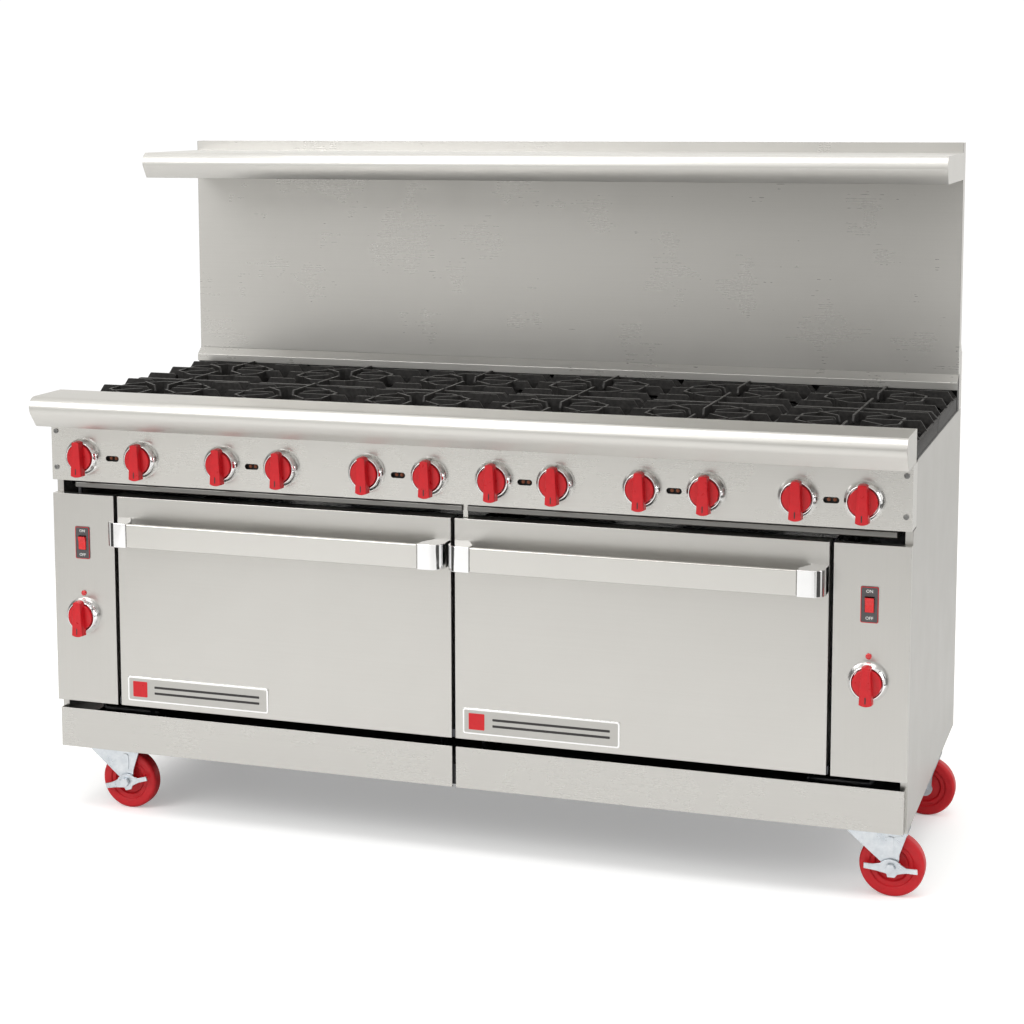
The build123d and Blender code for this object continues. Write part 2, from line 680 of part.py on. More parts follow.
def make_top_grates():
    """Twelve cast grates: side rails, end bars, octagon ring, straight and diagonal fingers."""
    size_x, size_y = grate_size
    half_x, half_y = size_x / 2, size_y / 2
    bar, ring, finger_pitch = 5.0, 104.0, 113.0
    underside, ring_underside = finger_z - 20, finger_z - 30
    with BuildPart() as grate:
        for side in (-1, 1):
            plate(mirrored(side, half_x - bar, half_x), (-half_y, half_y), (rim_z, rail_top_z))
            with BuildSketch(front_plane(half_y if side > 0 else bar - half_y)):
                with BuildLine():
                    Polyline((-half_x, rim_z + 6), (half_x, rim_z + 6), (half_x, rail_top_z),
                             (half_x - 13, finger_z - 5), (13 - half_x, finger_z - 5),
                             (-half_x, rail_top_z), close=True)
                make_face()
            extrude(amount=bar)
            for y in (-finger_pitch, 0, finger_pitch):
                tip = 28 if y == 0 else 74
                with BuildSketch(Plane.XZ.offset(-(y + bar / 2))):
                    with BuildLine():
                        Polyline(*[(side * px, pz) for px, pz in (
                            (half_x, rail_top_z - 14), (half_x, rail_top_z),
                            (half_x - 13, finger_z), (tip + 4, finger_z), (tip, finger_z - 5),
                            (tip, finger_z - 16), (tip + 14, underside),
                            (half_x - 18, underside))], close=True)
                    make_face()
                extrude(amount=bar)
        with BuildSketch(Plane.XY.offset(ring_underside)):
            RegularPolygon(ring, 8, major_radius=False, rotation=22.5)
            RegularPolygon(ring - bar, 8, major_radius=False, rotation=22.5, mode=Mode.SUBTRACT)
        extrude(amount=finger_z - 2 - ring_underside)
        for angle in (45, 90, 135, 225, 270, 315):
            reach = half_y - bar if angle in (90, 270) else ring + 1
            slope = Plane(origin=(0, 0, 0), x_dir=(cos(radians(angle)), sin(radians(angle)), 0),
                          z_dir=(sin(radians(angle)), -cos(radians(angle)), 0))
            with BuildSketch(slope.offset(-bar / 2)):
                with BuildLine():
                    Polyline((34, finger_z - 12), (40, finger_z), (reach, finger_z),
                             (reach, underside), (46, underside), (34, finger_z - 16),
                             close=True)
                make_face()
            extrude(amount=bar)
    with BuildPart() as grates:
        with Locations(*[(x, y, 0) for x in columns for y in grate_y.values()]):
            add(grate.part)
    save("top_grates", grates)


def make_crumb_tray(side):
    """Shallow sliding tray under the burners with a rolled pull along its front."""
    x0, x1 = tray_x[side]
    y0, y1 = face_y + 11, 372.0
    floor = tray_z[0] + sheet
    pieces = separate(((x0, x1), (y0, y1), (tray_z[0], floor)),
                      ((x0, x0 + sheet), (y0, y1), (floor, tray_z[1])),
                      ((x1 - sheet, x1), (y0, y1), (floor, tray_z[1])),
                      ((x0 + sheet, x1 - sheet), (y0, y0 + sheet), (floor, tray_z[1])),
                      ((x0 + sheet, x1 - sheet), (y1 - sheet, y1), (floor, tray_z[1])))
    with BuildPart() as pull:
        with BuildSketch(Plane.YZ.offset(x0)):
            with Locations((y0 - 3, tray_z[1] - 6)):
                SlotOverall(12, 6, rotation=90)
        extrude(amount=x1 - x0)
    save(f"crumb_tray_{side}", *pieces, pull)


# ---- knobs, switches and lights --------------------------------------------------------------
def knob_places():
    """Name and centre of every round knob on the front."""
    places = []
    for index, (pair, offset) in enumerate(knob_pairs):
        for step, x in enumerate((pair - offset, pair + offset)):
            places.append((f"burner_knob_{2 * index + step + 1:02d}", x, knob_z))
    for hand, x in control_x.items():
        places.append((f"oven_knob_{hand}", x, thermostat_z))
    return places


def make_bezels():
    """Domed chrome bezel rings on the panels, one round each knob."""
    with BuildPart() as bezel:
        with BuildSketch(Plane.XY):
            with BuildLine():
                Line((8, 0), (39.5, 0))
                ThreePointArc((39.5, 0), (37.8, -9.5), (32.5, -17.2))
                ThreePointArc((32.5, -17.2), (31.1, -18), (29.7, -17))
                Polyline((29.7, -17), (29.3, -6), (8, -6), (8, 0))
            make_face()
        revolve(axis=Axis.Y)
    with BuildPart() as bezels:
        with Locations(*[(x, face_y, z) for _, x, z in knob_places()]):
            add(bezel.part)
    save("knob_bezels", bezels)


def make_knobs():
    """Round knobs with a raised, tapered grip whose wide end is the pointer."""
    disc_r, disc_y, grip_y = 28.0, (-22.0, -8.0), (-36.0, -19.2)
    with BuildPart() as knob:
        with BuildSketch(front_plane(disc_y[1])):
            Circle(disc_r)
        extrude(amount=disc_y[1] - disc_y[0])
        fillet(knob.faces().sort_by(Axis.Y)[0].edges(), 2)
        with BuildSketch(front_plane(grip_y[1])):
            with BuildLine():
                Line((-9.5, 34), (-13.5, -38))
                ThreePointArc((-13.5, -38), (0, -42), (13.5, -38))
                Line((13.5, -38), (9.5, 34))
                ThreePointArc((9.5, 34), (0, 37), (-9.5, 34))
            make_face()
        extrude(amount=grip_y[1] - grip_y[0], taper=4)
        fillet(knob.faces().sort_by(Axis.Y)[0].edges(), 1.5)
        with BuildSketch(front_plane(-30.5)):
            Circle(stem_r + 0.05)
        extrude(amount=-30, mode=Mode.SUBTRACT)
    for name, x, z in knob_places():
        with BuildPart() as placed:
            with Locations((x, face_y, z)):
                add(knob.part)
        save(name, placed)


def make_switches():
    """Switch plates on the lower control columns, and the rocker that tilts in each."""
    window, rocker = (18.0, 30.0), (16.6, 28.6)
    tilt, pivot_y = 7.0, face_y + 1.0
    with BuildPart() as plates:
        for side, x in control_x.items():
            centre = (x, switch_z[side])
            with BuildSketch(front_plane(face_y)):
                with Locations(centre):
                    RectangleRounded(34, 70, 3)
                    Rectangle(*window, mode=Mode.SUBTRACT)
            extrude(amount=2)
            with BuildSketch(front_plane(face_y + 22)):
                with Locations(centre):
                    Rectangle(20, 33)
                    Rectangle(*window, mode=Mode.SUBTRACT)
            extrude(amount=22)
            with BuildSketch(front_plane(face_y + 24)):
                with Locations(centre):
                    Rectangle(20, 33)
            extrude(amount=2)
    save("switch_plates", plates)
    half = rocker[1] / 2
    rise = half * sin(radians(tilt))
    for side, x in control_x.items():
        with BuildPart() as rocker_key:
            with Locations((x, pivot_y, switch_z[side])):
                Cylinder(2.5, window[0] - 0.4, rotation=(0, 90, 0))
            with BuildSketch(Plane(origin=(x - rocker[0] / 2, pivot_y, switch_z[side]),
                                   x_dir=(0, cos(radians(tilt)), sin(radians(tilt))),
                                   z_dir=(1, 0, 0))):
                with BuildLine():
                    Polyline((-5, 0), (-5 - rise, half), (8, half - 4), (8, 4 - half),
                             (-5 - rise, -half), close=True)
                make_face()
            extrude(amount=rocker[0])
        save(f"oven_switch_{side}", rocker_key)


def make_indicator_lights():
    """Domed pilot lights, each with a body behind the panel."""
    with BuildPart() as lights:
        for x in control_x.values():
            with BuildSketch(front_plane(face_y)):
                with Locations((x, light_z)):
                    Circle(6)
            extrude(amount=3)
            with BuildSketch(front_plane(face_y + 18)):
                with Locations((x, light_z)):
                    Circle(5)
            extrude(amount=18)
        fillet(lights.faces().group_by(Axis.Y)[0].edges(), 2)
    save("indicator_lights", lights)


def make_screws():
    """Pan-head screws with a cross recess on the control panel and on the rear panel."""
    with BuildPart() as screw:
        with BuildSketch(front_plane(0)):
            Circle(5.5)
        extrude(amount=3)
        fillet(screw.faces().sort_by(Axis.Y)[0].edges(), 1.6)
        with Locations((0, -2.4, 0)):
            Box(6.4, 1.8, 1.5, mode=Mode.SUBTRACT)
            Box(1.5, 1.8, 6.4, mode=Mode.SUBTRACT)
    with BuildPart() as screws:
        with Locations(*[(x, face_y, z) for x in (-903, 903) for z in (842, 764)]):
            add(screw.part)
        rear = [(x, z) for x in range(-880, 881, 220) for z in (165, 845)]
        with Locations(*[Location((x, rear_panel_y + sheet, z), (0, 0, 180)) for x, z in rear]):
            add(screw.part)
    save("screws", screws)


# ---- casters -----------------------------------------------------------------------------
def make_caster(row, side):
    """Swivel fork with its axle bolt, the wheel, and on the front casters a brake lever."""
    axis_x = stem_x if side == "right" else -stem_x
    x, y = axis_x + trail, caster_y[row]
    crown_z = (129.5, 134.0)
    leg_y, leg_t, axle_r = 21.0, 4.0, 6.0
    name = f"{row}_{side}"
    with BuildPart() as fork:
        with BuildSketch(Plane.XY.offset(crown_z[1])):
            with Locations((axis_x, y)):
                Circle(37)
        extrude(amount=frame_z[0] - 5.4 - crown_z[1])
        with BuildSketch(Plane.XY.offset(crown_z[0])):
            with BuildLine():
                Polyline((axis_x - 34, y - leg_y - leg_t), (x + 31, y - leg_y - leg_t),
                         (x + 31, y + leg_y + leg_t), (axis_x - 34, y + leg_y + leg_t),
                         close=True)
            make_face()
        extrude(amount=crown_z[1] - crown_z[0])
        for hand in (-1, 1):
            outer = y + hand * (leg_y + leg_t)
            with BuildSketch(front_plane(max(outer, y + hand * leg_y))):
                with BuildLine():
                    Polyline((x + 31, crown_z[1]), (axis_x - 34, crown_z[1]),
                             (axis_x - 34, crown_z[0] - 2), (x - 16, wheel_r + 6))
                    ThreePointArc((x - 16, wheel_r + 6), (x, wheel_r - 17),
                                  (x + 15, wheel_r + 8))
                    Polyline((x + 15, wheel_r + 8), (x + 16, 90), (x + 31, crown_z[1]))
                make_face()
            extrude(amount=leg_t)
            with BuildSketch(front_plane(outer + (0 if hand < 0 else 2))):
                with Locations((x - 2, (crown_z[0] + wheel_r + 20) / 2)):
                    RectangleRounded(14, 36, 5)
            extrude(amount=2)
        with Locations((x, y, wheel_r)):
            Cylinder(axle_r, 2 * (leg_y + leg_t) + 4, rotation=(90, 0, 0))
        with BuildSketch(front_plane(y - leg_y - leg_t)):
            with Locations((x, wheel_r)):
                Circle(8)
        extrude(amount=7)
        for start in (y - leg_y - leg_t - 7, y + leg_y + leg_t + 7):
            with BuildSketch(front_plane(start)):
                with Locations((x, wheel_r)):
                    RegularPolygon(10, 6)
            extrude(amount=7)
    save(f"caster_fork_{name}", fork)

    with BuildPart() as wheel:
        with BuildSketch(Plane.XY):
            with BuildLine():
                Polyline((6.08, -19), (14, -19), (16, -9), (31, -7), (34, -12), (42, -12),
                         (44, -15), (57, -16))
                ThreePointArc((57, -16), (61.8, -13.4), (wheel_r, -9))
                Line((wheel_r, -9), (wheel_r, 9))
                ThreePointArc((wheel_r, 9), (61.8, 13.4), (57, 16))
                Polyline((57, 16), (44, 15), (42, 12), (34, 12), (31, 7), (16, 9),
                         (14, 19), (6.08, 19), (6.08, -19))
            make_face()
        revolve(axis=Axis.Y)
    with BuildPart() as placed:
        with Locations((x, y, wheel_r)):
            add(wheel.part)
    save(f"caster_wheel_{name}", placed)

    if row == "front":
        tilt = 16.0 if side == "left" else 0.0
        lever_plane = Plane(origin=(x, y - leg_y - leg_t - 1.5, wheel_r), z_dir=(0, -1, 0),
                            x_dir=(cos(radians(tilt)), 0, sin(radians(tilt))))
        with BuildPart() as lever:
            with BuildSketch(lever_plane):
                with BuildLine():
                    Polyline((-52, 5), (-34, 5), (-20, 8))
                    ThreePointArc((-20, 8), (0, 17), (20, 8))
                    Polyline((20, 8), (30, 2), (51, 2), (52, -8), (30, -8), (13, -12),
                             (8, -19), (-6, -19), (-8, -12), (-30, -8), (-52, -6), (-52, 5))
                make_face()
                Circle(8.08, mode=Mode.SUBTRACT)
            extrude(amount=4)
        save(f"brake_lever_{side}", lever)


# ---- build everything ----------------------------------------------------------------------
make_base_frame()
make_side_panel(-1, "side_panel_left")
make_side_panel(1, "side_panel_right")
make_rear_panel()
make_control_panel()
make_front_rail()
make_kick_plates()
make_riser()
make_high_shelf()
for hand in oven_x:
    make_front_panel(hand)
    make_oven_liner(hand, f"oven_liner_{hand}")
    make_fan(hand)
    make_door(hand)
    make_crumb_tray(hand)
make_oven_racks()
make_fan_motors()
make_burner_box()
make_gas_burners()
make_gas_manifold()
make_gas_valves()
make_top_grates()
make_bezels()
make_knobs()
make_switches()
make_indicator_lights()
make_screws()
for row_name in caster_y:
    for hand in oven_x:
        make_caster(row_name, hand)
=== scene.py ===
"""Looks for the gas range: materials, softened edges, small fittings, lights and camera.

Metres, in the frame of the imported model: +X right, +Y back, +Z up from the floor.
"""
import json
from math import cos, pi, radians, sin

import bmesh
import bpy
from mathutils import Matrix, Vector

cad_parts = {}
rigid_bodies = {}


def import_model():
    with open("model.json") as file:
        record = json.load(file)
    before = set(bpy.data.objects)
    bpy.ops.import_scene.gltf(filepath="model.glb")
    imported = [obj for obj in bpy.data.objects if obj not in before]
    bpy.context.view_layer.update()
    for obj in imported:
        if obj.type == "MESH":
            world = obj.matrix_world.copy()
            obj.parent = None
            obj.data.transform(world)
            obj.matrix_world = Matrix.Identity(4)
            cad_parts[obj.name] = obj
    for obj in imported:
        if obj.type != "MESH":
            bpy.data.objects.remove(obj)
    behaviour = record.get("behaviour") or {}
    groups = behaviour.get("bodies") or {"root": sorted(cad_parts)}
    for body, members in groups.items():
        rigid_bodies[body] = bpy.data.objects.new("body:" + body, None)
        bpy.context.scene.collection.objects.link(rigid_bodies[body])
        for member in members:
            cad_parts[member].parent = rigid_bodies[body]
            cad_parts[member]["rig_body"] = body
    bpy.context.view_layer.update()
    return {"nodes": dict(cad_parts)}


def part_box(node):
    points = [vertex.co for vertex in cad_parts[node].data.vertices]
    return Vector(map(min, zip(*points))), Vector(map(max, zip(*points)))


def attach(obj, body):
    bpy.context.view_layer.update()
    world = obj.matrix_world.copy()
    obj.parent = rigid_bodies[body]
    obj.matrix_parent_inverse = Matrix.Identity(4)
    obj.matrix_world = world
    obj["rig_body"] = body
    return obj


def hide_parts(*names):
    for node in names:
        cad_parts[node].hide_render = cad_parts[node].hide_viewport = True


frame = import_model()
nodes = frame["nodes"]
MM = 0.001
SIDES = ("left", "right")


# ---- places read from the frame --------------------------------------------------------------
def middle(node):
    """Centre of a CAD node's box."""
    low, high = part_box(node)
    return (low + high) / 2


BODY_X = middle("control_panel").x       # middle of the body from left to right
FACE_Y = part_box("control_panel")[0].y    # front plane of the panels and doors


# ---- materials ---------------------------------------------------------------------------
class Paint:
    """A procedural material that is built up from textures in the frame's own metres."""

    def __init__(self, name, color, roughness, **sockets):
        self.material = bpy.data.materials.new(name)
        self.material.use_nodes = True
        self.tree = self.material.node_tree
        self.shader = self.tree.nodes["Principled BSDF"]
        self.coords = self.tree.nodes.new("ShaderNodeTexCoord").outputs["Object"]
        self.shader.inputs["Base Color"].default_value = (*color, 1)
        self.shader.inputs["Roughness"].default_value = roughness
        for socket, value in sockets.items():
            self.shader.inputs[socket.replace("_", " ")].default_value = value

    def node(self, kind, inputs=(), **settings):
        made = self.tree.nodes.new(kind)
        for setting, value in settings.items():
            setattr(made, setting, value)
        for socket, value in dict(inputs).items():
            if isinstance(value, bpy.types.NodeSocket):
                self.tree.links.new(value, made.inputs[socket])
            else:
                made.inputs[socket].default_value = value
        return made

    def stretched(self, scale):
        return self.node("ShaderNodeMapping", {"Vector": self.coords, "Scale": scale}).outputs[0]

    def noise(self, scale, detail=2.0, roughness=0.5):
        """Noise from 0 to 1 with this many waves per metre along X, Y and Z."""
        return self.node("ShaderNodeTexNoise", {
            "Vector": self.stretched(scale), "Scale": 1.0, "Detail": detail,
            "Roughness": roughness}).outputs["Fac"]

    def cells(self, per_metre):
        scale = (per_metre,) * 3
        return self.node("ShaderNodeTexVoronoi", {"Vector": self.stretched(scale), "Scale": 1.0})

    def spread(self, value, low, high, start=0.3, end=0.7):
        """value moved from start..end to low..high."""
        return self.node("ShaderNodeMapRange", {
            "Value": value, "From Min": start, "From Max": end,
            "To Min": low, "To Max": high}).outputs["Result"]

    def mix(self, share, first, second):
        made = self.node("ShaderNodeMix", {"Factor": share}, data_type="RGBA")
        for socket, value in ((made.inputs[6], first), (made.inputs[7], second)):
            if isinstance(value, bpy.types.NodeSocket):
                self.tree.links.new(value, socket)
            else:
                socket.default_value = (*value, 1)
        return made.outputs[2]

    def upward(self):
        """1 on faces that look up, 0 on upright and hanging ones."""
        normal = self.node("ShaderNodeNewGeometry").outputs["Normal"]
        height = self.node("ShaderNodeSeparateXYZ", {"Vector": normal}).outputs["Z"]
        return self.spread(height, 0.0, 1.0, 0.6, 0.95)

    def drive(self, socket, value):
        self.tree.links.new(value, self.shader.inputs[socket])

    def relief(self, *layers):
        """Bump layers, each a texture with its depth in millimetres."""
        normal = None
        for value, depth in layers:
            inputs = {"Height": value, "Distance": depth * MM, "Strength": 1.0}
            if normal is not None:
                inputs["Normal"] = normal
            normal = self.node("ShaderNodeBump", inputs).outputs["Normal"]
        self.drive("Normal", normal)


def stainless(name, grain, tone_and_painted_light=1.0, roughness=0.27, **sockets):
    """Brushed stainless sheet. grain is the number of waves per metre along X, Y and Z. The
    brightness factor scales the colour for each part: mostly painted light and shade, one steel
    made lighter or darker by how brightly that part is lit.
    """
    paint = Paint(name, (0.6, 0.59, 0.57), roughness, **{"Metallic": 1.0, **sockets})
    lines = paint.noise(grain, 1.5, 0.5)
    clouds = paint.noise((2.2, 2.2, 2.2), 3.0, 0.55)
    smears = paint.noise((9, 9, 9), 4.0, 0.6)
    # Painted light and shade: the brightness factor lightens or darkens the grain colours for each
    # part.
    dark = [tone_and_painted_light * c for c in (0.574, 0.563, 0.538)]
    light = [tone_and_painted_light * c for c in (0.593, 0.582, 0.556)]
    tone = paint.mix(paint.spread(lines, 0, 1, 0.2, 0.8), dark, light)
    cloudy = paint.mix(paint.spread(clouds, 0, 0.2), tone,
                       [tone_and_painted_light * c for c in (0.582, 0.573, 0.553)])
    paint.drive("Base Color", cloudy)
    steps = paint.spread(smears, roughness - 0.015, roughness + 0.03)
    rough = paint.node("ShaderNodeMath", {0: steps, 1: paint.spread(lines, -0.007, 0.009)},
                       operation="ADD").outputs[0]
    paint.drive("Roughness", rough)
    paint.relief((lines, 0.002), (clouds, 0.05))
    return paint.material


def chrome(name="chrome", roughness=0.05):
    """Polished chrome with faint polishing marks."""
    paint = Paint(name, (0.86, 0.86, 0.87), roughness, Metallic=1.0)
    haze = paint.noise((60, 60, 60), 4.0, 0.6)
    paint.drive("Roughness", paint.spread(haze, roughness * 0.7, roughness * 2.2))
    paint.drive("Base Color", paint.mix(haze, (0.80, 0.80, 0.81), (0.90, 0.90, 0.90)))
    paint.relief((haze, 0.004))
    return paint.material


def red_plastic(name, color, roughness=0.3, coat=0.35):
    """Moulded red plastic with a faint orange-peel surface and slightly uneven colour."""
    paint = Paint(name, color, roughness, Coat_Weight=coat, Coat_Roughness=0.12,
                  Specular_IOR_Level=0.32)
    mottle = paint.noise((90, 90, 90), 3.0)
    peel = paint.noise((1400, 1400, 1400), 2.0)
    paint.drive("Base Color", paint.mix(mottle, [0.86 * c for c in color],
                                        [min(1.0, 1.15 * c) for c in color]))
    paint.drive("Roughness", paint.spread(mottle, roughness - 0.05, roughness + 0.08))
    paint.relief((peel, 0.02))
    return paint.material


def cast_iron():
    """Black cast iron with sand-cast grain and greyer tops: partly wear where pans rub, partly a
    painted highlight where light catches the tops.
    """
    paint = Paint("cast_iron", (0.02, 0.02, 0.02), 0.55, Metallic=0.35)
    grit = paint.noise((900, 900, 900), 3.0, 0.7)
    lumps = paint.noise((130, 130, 130), 3.0)
    patches = paint.noise((24, 24, 24), 4.0, 0.65)
    base = paint.mix(paint.spread(lumps, 0, 1), (0.011, 0.0104, 0.0098), (0.030, 0.028, 0.0265))
    # Greyer up-facing tops: partly real pan wear, partly painted highlight standing in for light
    # on the tops.
    wear_and_painted_highlight = paint.node("ShaderNodeMath", {0: paint.upward(), 1: paint.spread(patches, 0.15, 0.85)},
                      operation="MULTIPLY").outputs[0]
    paint.drive("Base Color", paint.mix(wear_and_painted_highlight, base, (0.075, 0.073, 0.07)))
    paint.drive("Roughness", paint.spread(grit, 0.42, 0.68))
    paint.relief((lumps, 0.35), (grit, 0.12))
    return paint.material


def black_sheet(name="black_sheet", color=(0.012, 0.012, 0.012), roughness=0.45):
    """Black enamelled or painted sheet with dust on what looks up."""
    paint = Paint(name, color, roughness)
    dust = paint.noise((40, 40, 40), 4.0, 0.6)
    share = paint.node("ShaderNodeMath", {0: paint.upward(), 1: paint.spread(dust, 0, 0.5)},
                       operation="MULTIPLY").outputs[0]
    paint.drive("Base Color", paint.mix(share, color, (0.09, 0.085, 0.08)))
    paint.drive("Roughness", paint.spread(dust, roughness - 0.08, roughness + 0.12))
    paint.relief((paint.noise((700, 700, 700)), 0.03))
    return paint.material


def enamel():
    """Oven enamel: near-black blue-grey with fine pale specks."""
    paint = Paint("enamel", (0.02, 0.022, 0.028), 0.22, Coat_Weight=0.4)
    specks = paint.cells(650).outputs["Distance"]
    tone = paint.mix(paint.spread(specks, 1, 0, 0.08, 0.16), (0.016, 0.018, 0.024),
                     (0.24, 0.25, 0.27))
    paint.drive("Base Color", tone)
    paint.drive("Roughness", paint.spread(paint.noise((30, 30, 30)), 0.16, 0.34))
    paint.relief((paint.noise((220, 220, 220)), 0.05))
    return paint.material


def galvanised():
    """Galvanised sheet with large flat spangles."""
    paint = Paint("galvanised", (0.55, 0.56, 0.57), 0.42, Metallic=1.0)
    spangle = paint.cells(70).outputs["Color"]
    shade = paint.node("ShaderNodeSeparateColor", {"Color": spangle}).outputs["Red"]
    paint.drive("Base Color", paint.mix(shade, (0.44, 0.45, 0.46), (0.62, 0.63, 0.64)))
    paint.drive("Roughness", paint.spread(shade, 0.34, 0.52, 0, 1))
    paint.relief((paint.noise((400, 400, 400)), 0.02))
    return paint.material


def plated(name, low, high, roughness=0.3):
    """Plated or bare machined metal with soft blotches and fine scratches."""
    paint = Paint(name, high, roughness, Metallic=1.0)
    blotches = paint.noise((45, 45, 45), 4.0, 0.6)
    scratches = paint.noise((1500, 120, 120), 2.0)
    paint.drive("Base Color", paint.mix(paint.spread(blotches, 0, 1), low, high))
    paint.drive("Roughness", paint.spread(blotches, roughness - 0.07, roughness + 0.12))
    paint.relief((scratches, 0.015), (blotches, 0.05))
    return paint.material


def black_plastic(name, color):
    """Fine-textured moulded plastic."""
    paint = Paint(name, color, 0.5)
    grain = paint.cells(2600).outputs["Distance"]
    paint.drive("Base Color", paint.mix(paint.spread(grain, 0, 1, 0.1, 0.6), color,
                                        [1.9 * c for c in color]))
    paint.drive("Roughness", paint.spread(grain, 0.4, 0.6, 0.1, 0.6))
    paint.relief((grain, 0.05))
    return paint.material


def lens():
    """Red lamp lens with fine ribs."""
    paint = Paint("lamp_lens", (0.62, 0.008, 0.012), 0.12, Coat_Weight=0.6,
                  Subsurface_Weight=0.2)
    ribs = paint.noise((500, 500, 500))
    paint.drive("Base Color", paint.mix(ribs, (0.5, 0.006, 0.01), (0.72, 0.012, 0.018)))
    paint.relief((ribs, 0.03))
    return paint.material


def gasket_weave():
    """Braided glass-fibre door gasket."""
    paint = Paint("gasket_braid", (0.09, 0.088, 0.083), 0.85, Sheen_Weight=0.3)
    braid = paint.cells(900).outputs["Distance"]
    paint.drive("Base Color", paint.mix(paint.spread(braid, 0, 1, 0.1, 0.6),
                                        (0.05, 0.049, 0.046), (0.17, 0.165, 0.155)))
    paint.relief((braid, 0.4))
    return paint.material


# Painted light and shade: the brightness factors of the panel, kick, riser, doors, columns, sides,
# rail and bar make lit and shaded copies of one steel, each lighter or darker to match how
# brightly that part is lit.
STEEL_PANEL = stainless("stainless_along", (3, 620, 620), 1.04)
STEEL_KICK = stainless("stainless_kick", (3, 620, 620), 0.90)
STEEL_RISER = stainless("stainless_riser", (3, 300, 340), 0.96, 0.28, Metallic=0.70)
STEEL_SHELF = stainless("stainless_shelf", (3, 520, 620), 1.0, 0.30, Metallic=0.6)
# Painted shade: the crumb trays' steel is darkened to 0.34 for the shade under the control panel's
# overhang.
STEEL_TRAY_PAINTED_SHADE = stainless("stainless_tray_painted_shade", (3, 520, 620), 0.34, 0.34)
STEEL_BADGE = stainless("stainless_badge", (5, 900, 900), 0.80, 0.30)
STEEL_DOOR = stainless("stainless_door", (3, 700, 700), 0.97, 0.33)
STEEL_COLUMN = stainless("stainless_column", (620, 620, 3), 0.92, 0.31)
STEEL_SIDE = stainless("stainless_side", (620, 620, 3), 0.83, 0.31)
STEEL_RAIL = stainless("stainless_rail", (2.5, 560, 560), 1.05, 0.35)
STEEL_BAR = stainless("stainless_bar", (4, 900, 900), 1.05, 0.18)
CHROME = chrome()
RED_KNOB = red_plastic("knob_red", (0.52, 0.008, 0.014), 0.32, 0.12)
RED_WHEEL = red_plastic("wheel_red", (0.50, 0.009, 0.015), 0.4, 0.0)
RED_ROCKER = red_plastic("rocker_red", (0.62, 0.02, 0.022), 0.26, 0.25)
IRON = cast_iron()
BLACK = black_sheet()
FRAME_PAINT = black_sheet("frame_paint", (0.03, 0.03, 0.032), 0.5)
ENAMEL = enamel()
GALVANISED = galvanised()
ZINC = plated("zinc_plate", (0.50, 0.54, 0.58), (0.72, 0.75, 0.78), 0.3)
SCREW_STEEL = plated("screw_steel", (0.12, 0.12, 0.12), (0.36, 0.36, 0.35), 0.28)
ALUMINIUM = plated("cast_aluminium", (0.42, 0.42, 0.43), (0.60, 0.60, 0.61), 0.42)
WIRE = plated("rack_wire", (0.55, 0.55, 0.56), (0.74, 0.74, 0.75), 0.2)
PIPE = plated("pipe_steel", (0.10, 0.10, 0.11), (0.20, 0.20, 0.21), 0.5)
BRASS = plated("valve_brass", (0.48, 0.34, 0.14), (0.70, 0.54, 0.27), 0.3)
COPPER = plated("pilot_copper", (0.16, 0.055, 0.035), (0.30, 0.12, 0.07), 0.4)
PLATE_GREY = black_plastic("switch_plate_grey", (0.040, 0.038, 0.040))
INK = black_sheet("black_ink", (0.02, 0.018, 0.018), 0.4)
LENS = lens()
BRAID = gasket_weave()
WHITE_INK = red_plastic("white_ink", (0.78, 0.78, 0.76), 0.5, 0.0)


# ---- mesh helpers ------------------------------------------------------------------------
def place_piece(name, mesh, material, body, bevel=0.0, segments=2, smooth=35):
    """Put a finished mesh in the scene as a piece that rides on a CAD body."""
    piece = bpy.data.objects.new(name, mesh)
    bpy.context.scene.collection.objects.link(piece)
    mesh.materials.clear()
    mesh.materials.append(material)
    mesh.shade_smooth()
    mesh.set_sharp_from_angle(angle=radians(smooth))
    if bevel:
        edge = piece.modifiers.new("soft_edges", "BEVEL")
        edge.width = bevel * MM
        edge.segments = segments
        edge.limit_method = "ANGLE"
        edge.angle_limit = radians(smooth)
        edge.harden_normals = True
    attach(piece, body)
    return piece


def to_mesh(name, work):
    """Finish a bmesh as a mesh with its faces turned outwards."""
    bmesh.ops.recalc_face_normals(work, faces=work.faces)
    mesh = bpy.data.meshes.new(name)
    work.to_mesh(mesh)
    work.free()
    return mesh


def islands(work):
    """The separate solids of a bmesh, each as a list of vertices."""
    left, found = set(work.verts), []
    while left:
        group, edge = [], [left.pop()]
        while edge:
            vert = edge.pop()
            group.append(vert)
            for link in vert.link_edges:
                other = link.other_vert(vert)
                if other in left:
                    left.remove(other)
                    edge.append(other)
        found.append(group)
    return found


def refine(node, material, bevel=0.5, segments=2, keep=None, suffix="shape"):
    """Copy a CAD node with softened edges and a finish; keep(centre) picks some of its solids."""
    work = bmesh.new()
    work.from_mesh(nodes[node].data)
    bmesh.ops.remove_doubles(work, verts=work.verts, dist=1e-6)
    if keep:
        for group in islands(work):
            centre = sum((v.co for v in group), Vector()) / len(group)
            if not keep(centre):
                bmesh.ops.delete(work, geom=group, context="VERTS")
    bmesh.ops.dissolve_limit(work, angle_limit=radians(0.6), verts=work.verts, edges=work.edges)
    name = f"{node}_{suffix}"
    body = nodes[node]["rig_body"]
    piece = place_piece(name, to_mesh(name, work), material, body, bevel, segments)
    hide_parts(node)
    return piece


